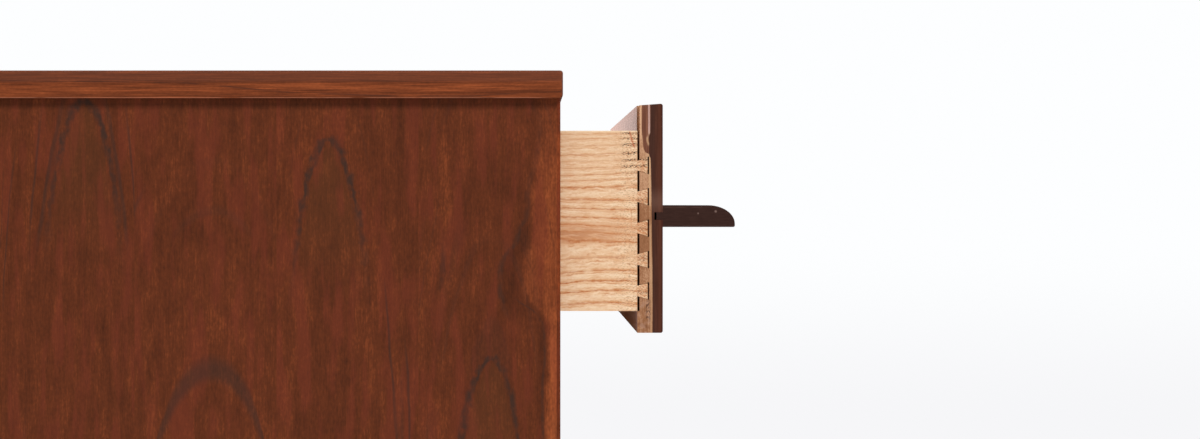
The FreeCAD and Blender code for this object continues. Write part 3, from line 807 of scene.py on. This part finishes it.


# %% [markdown]
# Where the router cut the dovetails, the oak has torn in small dark flecks along the open
# grain, with pale lifted fibres between them. The ends of the tails show slanted strokes.
# Near the top corner the board has a short split, a fine scribed line marks the depth of
# the joint, and a painted highlight runs along the top edge.


# %% Marks of the work
def torn_joint(shader, colour, behind, down, year, seed):
    """The colour with the marks of the router, and how deep they are."""
    near_joint = shader.rise(behind, 15.0, 9.0) * shader.rise(down, 37, 30)
    torn = shader.patches(behind / 1.6, down / 0.7, seed + 8.0, 0.49, 0.57, 1.0)
    row = shader.line(shader.math("FRACT", year + seed + 0.5) - 0.5, 0.3, 0.1)
    tails = shader.rise(behind, 0.5, -0.5)
    slant = down + behind * 0.5
    dark = shader.patches(behind / 3, slant / 0.9, seed + 16.0, 0.46, 0.58)
    light = shader.patches(behind / 3, slant / 0.9, seed + 17.0, 0.48, 0.6)
    colour = shader.mix(light * tails * 0.6, colour, paint(238, 204, 166))
    colour = shader.mix(dark * tails * 0.6, colour, paint(184, 112, 70))

    fleck = torn * row * shader.math("MAXIMUM", near_joint, tails * 0.5)
    lifted = shader.patches(behind / 1.4, down / 0.7, seed + 12.0, 0.54, 0.66, 1.0)
    lifted = lifted * shader.math("MAXIMUM", near_joint, shader.rise(behind, 22, 4) * 0.7)
    faint = shader.patches(behind / 1.8, down / 0.8, seed + 20.0, 0.55, 0.66, 1.0)
    faint = faint * shader.rise(behind, 28, 4) * 0.6
    colour = shader.mix(lifted * 0.6, colour, paint(244, 220, 180))
    colour = shader.mix(faint, colour, paint(150, 100, 66))
    colour = shader.mix(fleck, colour, paint(62, 42, 34))
    return colour, torn * 0.3 + fleck


def split_and_scribe(shader, colour, behind, down):
    """A short split in the corner, the scribed line and a painted highlight on the top edge."""
    ragged = shader.swing(behind / 1.2, down / 0.9, 4.0, 0.9)
    off_split = behind - shader.follow(down, *SPLIT_LINE) + ragged
    split = shader.line(off_split, 1.0, 0.3) * shader.rise(down, 15, 13) * 0.7
    colour = shader.mix(split, colour, paint(176, 84, 48))
    scribe = shader.line(behind - scribe_behind, 0.45, 0.1)
    scribe = scribe * shader.between(down, scribe_top, scribe_foot, 2)
    colour = shader.mix(scribe * 0.5, colour, paint(196, 120, 74))
    # Painted highlight: a pale line along the top edge.
    return shader.mix(shader.rise(down, 1.3, 0.4) * 0.5, colour, paint(250, 226, 190))


# %% Drawer side finish
def side_oak(number):
    """Oak for one drawer's sides; the lower drawers get other stretches of the same log."""
    shader = Shader(f"oak_side_{number}")
    _, y, z = shader.millimetres()
    behind = y - box_mm(f"drawer_{number}_front")[1].y
    down = box_mm(f"drawer_{number}_side_left")[1].z - z
    seed = (number - 1) * 3.7
    year, bold = board_years(shader, behind, down)
    colour, share = oak_years(shader, year + seed, behind, down, seed, bold)
    shift = (number - 1) * band_step
    colour = brown_band(shader, colour, behind, down, year, shift, seed)
    colour, pits = torn_joint(shader, colour, behind, down, year, seed)
    colour = split_and_scribe(shader, colour, behind, down)
    return lacquered(shader, colour, share, pits * -0.3 + share * 0.05, strength=0.15)


dress_drawers(["side_left", "side_right"], side_oak)

# %% [markdown]
# The drawer backs, the channels under the bottoms and the guides are the same oak, seen
# less closely, so they share one simpler finish for each way that their grain runs.


# %% Plain oak
year_width = 6.8


def plain_oak(name, grain, seed):
    shader = Shader(name)
    along, across, through = grain_axes(shader, grain)
    year = (across + through * 0.7 + along * 0.012) / year_width
    year = year + shader.swing(year * 0.5, seed, 0.0, 0.3, 1.0)
    colour, share = oak_years(shader, year, along, across, seed)
    return lacquered(shader, colour, share, share * 0.05)


drawer_backs = [name for name in nodes if name.startswith("drawer") and name.endswith("_back")]
dress(drawer_backs, plain_oak("oak_backs", "x", 2.0))
channels = [name for name in nodes if name.endswith("_channel")]
dress(channels + ["centre_guides"], plain_oak("oak_runners", "y", 5.0))

# %% [markdown]
# ## Drawer fronts
#
# A front is one walnut board. Its face, edges and the outer part of its ends carry the dark
# finish, put on with a brush after the drawer was glued. Behind that the ends were left
# raw: pale pins between the dovetails, a paler stripe where the finish stops, and near the
# top corner a run of stain that crept over the raw wood before it dried. The edges of these
# areas are curves, roughened by a little noise as a brush leaves them.

# %% Tones of the fronts
FRONT_TINT = (226, 214, 228)
END_FINISH = (
    (0.00, paint(54, 29, 24)),
    (0.45, paint(72, 42, 33)),
    (1.00, paint(92, 56, 44)),
)
RAW_PIN = (
    (0.00, paint(115, 73, 46)),
    (0.50, paint(151, 104, 73)),
    (1.00, paint(208, 164, 129)),
)
STAIN_TONES = (
    (0.25, paint(92, 56, 44)),
    (0.75, paint(132, 86, 66)),
)

# %% Edges on a front's end, as (below its top, depth from its face) points in millimetres
STAIN_EDGE = (
    (0, 17.1), (15, 17.1), (21, 17.0), (28, 16.4), (33, 16.0), (36, 15.6), (38, 14.8),
    (39.6, 13.6), (40.6, 11.5), (45, 7.0),
)
STRIPE_AT = (
    (0, 11.2), (24, 11.1), (28, 12.5), (30, 12.4), (33, 11.5), (40, 11.1), (46, 10.7),
    (66, 10.6), (80, 10.3), (102, 10.0), (120, 9.9), (135, 9.5), (190, 9.4),
)
FINISH_EDGE = (
    (0, 10.05), (23, 10.1), (27.5, 11.2), (32, 11.0), (36, 11.2), (40, 11.2), (44, 10.1),
    (52, 9.65), (66, 9.35), (80, 9.1), (102, 8.9), (118, 8.7), (135, 8.45), (190, 8.4),
)
GAP_EDGE = ((0, 19.4), (28, 19.3), (40, 18.8), (190, 18.6))
STRIPE_STRENGTH = (             # (below the top, how clear the pale stripe is) points
    (0, 0.9), (17, 0.9), (19, 1.0), (24, 0.95), (25.6, 0.3), (28, 0.65), (30, 0.6),
    (33, 0.55), (35, 0.0), (39.5, 0.0), (42, 0.75), (66, 0.8), (80, 0.7), (88, 0.15),
    (93, 0.15), (101, 0.5), (135, 0.6), (165, 0.4), (190, 0.5),
)
PIN_TONE = (                    # (below the top, how pale the raw wood is) points
    (0, 1.0), (15, 0.97), (30, 0.83), (38, 0.75), (62, 0.73), (76, 0.66), (88, 0.42),
    (112, 0.4), (138, 0.58), (150, 0.55), (185, 0.5),
)


# %% Finished and raw wood of a front's end
def brushed_finish(shader, into, down, grain, seed):
    """The dark finish: streaky, greyer at its inner edge, darkest at the front arris."""
    dark = shader.ramp(grain + shader.swing(into / 0.5, down / 4, seed, 0.08), *END_FINISH)
    dark = shader.mix(shader.rise(into, 5.2, 7.6) * 0.45, dark, paint(58, 41, 36))
    dark = shader.mix(shader.between(into, 1.6, 3.6, 0.7) * 0.35, dark, paint(96, 54, 40))
    dark = shader.mix(shader.rise(into, 1.7, 0.6) * 0.5, dark, paint(64, 28, 24))
    return shader.mix(shader.between(down, 72, 86, 7) * 0.28, dark, paint(132, 98, 84))


def raw_wood(shader, into, down, seed):
    """The bare end grain between the dovetails."""
    rings = shader.swing(into / 1.3, down / 40, seed + 5.0, 0.2)
    specks = shader.swing(into / 0.9, down / 1.6, seed, 0.24)
    return shader.ramp(shader.follow(down, *PIN_TONE) + rings + specks, *RAW_PIN)


def end_marks(shader, colour, into, down, up, ragged, seed):
    """Torn spots, a painted shadow and glue near the bottom, and painted shade behind the pins."""
    residue = shader.patches(into / 1.3, down / 1.7, seed + 7.0, 0.45, 0.52)
    residue = residue * shader.rise(into, 14.5, 12.5) * shader.rise(into, 9.5, 10.5)
    residue = residue * shader.between(up, 10, 26, 3)
    colour = shader.mix(residue * 0.85, colour, paint(68, 44, 36))
    # Painted shadow: a curved brown band a little above the bottom of the raw end.
    bend = up - into * 0.3 + ragged * 2
    painted_shadow_band = shader.between(bend, -0.5, 2.6, 1.2) * shader.rise(into, 9.5, 12.0)
    colour = shader.mix(painted_shadow_band * 0.55, colour, paint(116, 74, 52))
    glue = shader.patches(into / 3, down / 5, seed + 11.0, 0.45, 0.62, 3.0)
    glue = glue * shader.rise(up, 30, 22) * shader.rise(into, 9.5, 11.0)
    colour = shader.mix(glue * 0.4, colour, paint(186, 148, 126))
    # Painted shade in the slot behind the pins, deepening the shade of the real gap.
    painted_shade_behind_pins = shader.rise(into - shader.follow(down, *GAP_EDGE), 0.0, 0.3)
    painted_shade_behind_pins = painted_shade_behind_pins * shader.rise(up, 16.5, 18.5)
    return shader.mix(painted_shade_behind_pins * 0.4, colour, paint(70, 44, 34))


# %% The end of a front
def painted_end(shader, into, down, height, seed):
    """Colour of a front's end; into is the depth from its face and down from its top."""
    slow = shader.swing(down / 26, seed, 1.0, 0.35)
    ragged = shader.swing(down / 3.5, seed, 2.0, 0.12) + slow
    grain = shader.noise(into, down / 26, seed + 2.0)
    colour = raw_wood(shader, into, down, seed)

    stain_edge = shader.follow(down, *STAIN_EDGE) + ragged * 0.5
    stain = shader.rise(stain_edge - into, -0.25, 0.25) * shader.rise(down, 42.0, 40.5)
    colour = shader.mix(stain, colour, shader.ramp(grain, *STAIN_TONES))

    off_stripe = into - shader.follow(down, *STRIPE_AT) + ragged * 0.3
    stripe = shader.line(off_stripe, 1.1, 0.45) * shader.follow(down, *STRIPE_STRENGTH)
    stripe_tone = shader.mix(shader.rise(down, 20, 30), paint(190, 152, 140), paint(200, 160, 122))
    colour = shader.mix(stripe, colour, stripe_tone)

    finish_edge = shader.follow(down, *FINISH_EDGE) + ragged * 0.5
    finished = shader.rise(finish_edge - into, -0.3, 0.3)
    colour = shader.mix(finished, colour, brushed_finish(shader, into, down, grain, seed))
    return end_marks(shader, colour, into, down, height - down, ragged, seed)


# %% [markdown]
# The shader asks which way the surface faces, and paints ends, back and face separately.
# The back is raw wood, except for a strip along its top where lacquer ran over the edge.
# Seen at a low angle that strip mirrors the pale room, so it is drawn as a warm-tinted
# mirror, which only looks bright from there.

# %% Tones of the back
BACK_TONES = (paint(214, 176, 164), paint(178, 140, 128))
STRIP_TONES = (paint(170, 108, 70), paint(212, 156, 114))
STRIP_TINT = (1.0, 0.4, 0.16, 1.0)


# %% Front finish
def front_walnut(number):
    """The whole front of one drawer: face and edges, back, and the two ends."""
    shader = Shader(f"front_walnut_{number}")
    low, high = box_mm(f"drawer_{number}_front")
    x, y, z = shader.millimetres()
    face_x, face_y, _ = shader.facing()
    into = y - low.y
    down = high.z - z
    seed = number * 5.3
    side = z - (low.z + high.z) / 2 - 20
    ring = heart_distance(shader, x, side, into * 0.5 + x * 0.05 + 70, seed)
    tone = walnut_tone(shader, ring, x, z + into, seed)
    pits = pores(shader, x, z + into)
    face = shader.ramp(tone, *WALNUT_TONES)
    face = shader.mix(year_lines(shader, ring, x, seed) * 0.7, face, DARK_LINE)
    face = shader.mix(pits * 0.25, face, DARK_LINE)
    face = shader.mix(1.0, face, paint(*FRONT_TINT), "MULTIPLY")

    is_back = shader.rise(face_y, 0.5, 0.8)
    is_end = shader.rise(abs(face_x), 0.5, 0.8)
    back = shader.mix(shader.rise(tone, 0.2, 0.8) * 0.3, *BACK_TONES)
    end = painted_end(shader, into, down, high.z - low.z, seed)
    colour = shader.mix(is_end, shader.mix(is_back, face, back), end)
    polished = is_back * shader.rise(down, 30, 24)
    ripple = shader.patches((x + z) / 5, (x - z) / 40, seed, 0.3, 0.7)
    colour = shader.mix(polished, colour, shader.mix(ripple, *STRIP_TONES))
    roughness = 0.5 + is_end * 0.15 + is_back * 0.3 - polished * (ripple * 0.03 + 0.63)
    relief = (pits * -0.05 + tone * 0.02) * (1 - is_back) * (1 - is_end)
    return shader.finish(colour, roughness, relief, metallic=polished * 0.9, tint=STRIP_TINT)


dress_drawers(["front"], front_walnut)

# %% [markdown]
# ## Ledge pulls
#
# Each pull is a bar of walnut as long as its drawer, finished nearly black. Its end was
# sealed with the same dark finish, so it looks almost like one tone, with a hair line of
# lighter wear round the arris, a few pale nicks and painted shade along its bottom edge.

# %% Pull tones and nicks
PULL_TONES = ((0.2, paint(42, 25, 20)), (0.5, paint(60, 37, 29)), (0.8, paint(84, 52, 38)))
PULL_END = ((0.2, paint(46, 27, 22)), (0.8, paint(58, 37, 31)))
NICKS = ((42.8, 12.6, 0.9), (28.6, 11.0, 0.6))      # out from the front, up, radius


# %% Pull finish
def pull_walnut(number):
    shader = Shader(f"pull_walnut_{number}")
    low, high = box_mm(f"drawer_{number}_pull")
    base = box_mm(f"drawer_{number}_front")[0].y
    x, y, z = shader.millimetres()
    out = base - y
    up = z - low.z
    seed = number * 2.9
    bar = shader.noise(x / 160, y / 3, z / 2.4, 3.0)
    end = shader.ramp(shader.noise(out / 7, up / 1.2, seed, 3.0), *PULL_END)

    thick = high.z - low.z
    wear = shader.line(up - thick + 1.6, 0.9, 0.2) * shader.rise(out, 38, 30)
    wear = wear + shader.line(up - 1.1, 0.8, 0.2) * 0.8
    wear = wear * shader.patches(out / 9, up, seed, 0.35, 0.6, 1.0)
    end = shader.mix(wear * 0.35, end, paint(92, 66, 58))
    # Painted shade along the bottom edge of the pull's end.
    end = shader.mix(shader.rise(up, 0.75, 0.2) * 0.6, end, paint(44, 18, 16))
    for nick_out, nick_up, radius in NICKS:
        aside, above = out - nick_out, up - nick_up
        gap = (aside * aside + above * above) ** 0.5
        nick = shader.rise(gap, radius * 1.6, radius * 0.4)
        end = shader.mix(nick * 0.5, end, paint(150, 122, 112))
    is_end = shader.rise(abs(shader.facing()[0]), 0.5, 0.8)
    colour = shader.mix(is_end, shader.ramp(bar, *PULL_TONES), end)
    return shader.finish(colour, 0.46 + is_end * 0.12, bar * 0.05)


dress_drawers(["pull"], pull_walnut)

# %% [markdown]
# ## The leg frame and the rails
#
# Legs and aprons are solid walnut like the case. The front rails of the hidden frames show
# when a drawer is pulled out, so they are stained like the walnut.

# %% Front rails
front_rails = [name for name in nodes if name.startswith(("front_rail", "divider_rail"))]
stained_rails = plain_walnut(
    "stained_rails", "x", shade=(214, 200, 206), heart=case_top, seed=31.0, roughness=0.62
)
dress(front_rails, stained_rails)

# %% Leg frame
LEG_SHADE = (240, 232, 238)
LEG_FRAME = (
    # name of the finish, way of the grain, heart's place across it in mm, seed, pieces
    ("leg_walnut", "z", 0.0, 21.0, [name for name in nodes if name.startswith("leg_")]),
    ("apron_walnut_x", "x", 90.0, 23.0, ["base_apron_front", "base_apron_back"]),
    ("apron_walnut_y", "y", 80.0, 25.0, ["base_apron_left", "base_apron_right"]),
)
for name, grain, heart, seed, pieces in LEG_FRAME:
    dress(pieces, plain_walnut(name, grain, shade=LEG_SHADE, heart=heart, seed=seed))

# %% [markdown]
# ## Poplar and plywood
#
# Inside, the web frames are poplar, a pale wood with green and tan streaks that makers keep
# for parts that nobody sees. It has almost no figure, so two noises are enough.

# %% Poplar tones
POPLAR_TONES = (
    (0.20, paint(168, 156, 104)),
    (0.45, paint(196, 176, 128)),
    (0.70, paint(214, 192, 146)),
)


# %% Poplar
def poplar(name, grain, seed):
    shader = Shader(name)
    along, across, through = grain_axes(shader, grain)
    spread = through * 0.5 + across
    bands = shader.noise(spread / 14, along / 300, seed)
    fibres = shader.noise(spread / 0.9, along / 40, seed + 3.0)
    colour = shader.ramp(bands * 0.75 + fibres * 0.25, *POPLAR_TONES)
    return shader.finish(colour, 0.75, fibres * 0.05)


dress(["rear_rails"], poplar("poplar_rails", "x", 1.0))
dress(["frame_runners"], poplar("poplar_runners", "y", 4.0))
dress(["corner_blocks"], poplar("poplar_blocks", "z", 7.0))

# %% [markdown]
# The drawer bottoms, the dust panels in the frames and the back are thin plywood. Its face
# veneer was peeled off a turning log, so its figure is broad and wavy, and its cut edges
# show the plies as stripes.


# %% Plywood
def plywood(name, grain, tones, seed, ply=1.2):
    """Plywood between two tones; ply is the thickness of one layer in millimetres."""
    shader = Shader(name)
    along, through, across = grain_axes(shader, grain)
    waves = shader.noise(across / 46, along / 520, seed)
    streaks = shader.noise(across / 3, along / 130, seed + 2.0)
    fibres = shader.noise(across / 0.8, along / 22, seed + 4.0, 1.0)
    tone = shader.math("PINGPONG", waves * 6, 1.0) * 0.35 + streaks * 0.4 + fibres * 0.25
    dark, light = [paint(*tone_values) for tone_values in tones]
    face = shader.ramp(tone, (0.15, dark), (0.85, light))
    stripes = shader.rise(shader.math("PINGPONG", through / ply, 1.0), 0.3, 0.7)
    edge = shader.mix(stripes, dark, light)
    facing = dict(zip("xyz", shader.facing()))
    thin = {"x": "z", "y": "z", "z": "y"}[grain]
    is_face = shader.rise(abs(facing[thin]), 0.5, 0.8)
    return shader.finish(shader.mix(is_face, edge, face), 0.68, fibres * 0.04)


bottoms = [name for name in nodes if name.endswith("_bottom") and name.startswith("drawer")]
dress(bottoms, plywood("plywood_bottoms", "x", ((196, 160, 116), (228, 200, 158)), 1.0))
dress(["dust_panels"], plywood("plywood_dust", "x", ((172, 138, 100), (206, 176, 136)), 4.0))
dress(["back_panel"], plywood("plywood_back", "z", ((130, 86, 58), (172, 122, 86)), 8.0))

# %% [markdown]
# ## Small hardware
#
# Staples hold the back and screws the top and the leg frame. Both are zinc plated: grey,
# half dull and slightly blotched. The glides under the feet are pressed from pale nylon,
# scuffed and dirty where they slide on the floor.

# %% Zinc and nylon
zinc = Shader("zinc_plate")
zinc_x, zinc_y, zinc_z = zinc.millimetres()
bloom = zinc.noise(zinc_x / 2, zinc_y / 2, zinc_z / 2, 3.0)
zinc_colour = zinc.ramp(bloom, (0.3, paint(138, 136, 130)), (0.7, paint(196, 194, 186)))
zinc_plate = zinc.finish(zinc_colour, 0.3 + bloom * 0.3, specular=0.5, metallic=1.0)
dress(["back_staples", "frame_screws"], zinc_plate)

nylon = Shader("nylon_glide")
nylon_x, nylon_y, nylon_z = nylon.millimetres()
scuff = nylon.noise(nylon_x / 1.5, nylon_y / 1.5, nylon_z / 6, 3.0)
dirt = nylon.rise(nylon_z, 1.6, 0.2) * nylon.rise(scuff, 0.35, 0.65)
nylon_colour = nylon.mix(dirt * 0.5, paint(206, 203, 194), paint(126, 118, 106))
dress(["floor_glides"], nylon.finish(nylon_colour, 0.5 + scuff * 0.15, scuff * 0.05))
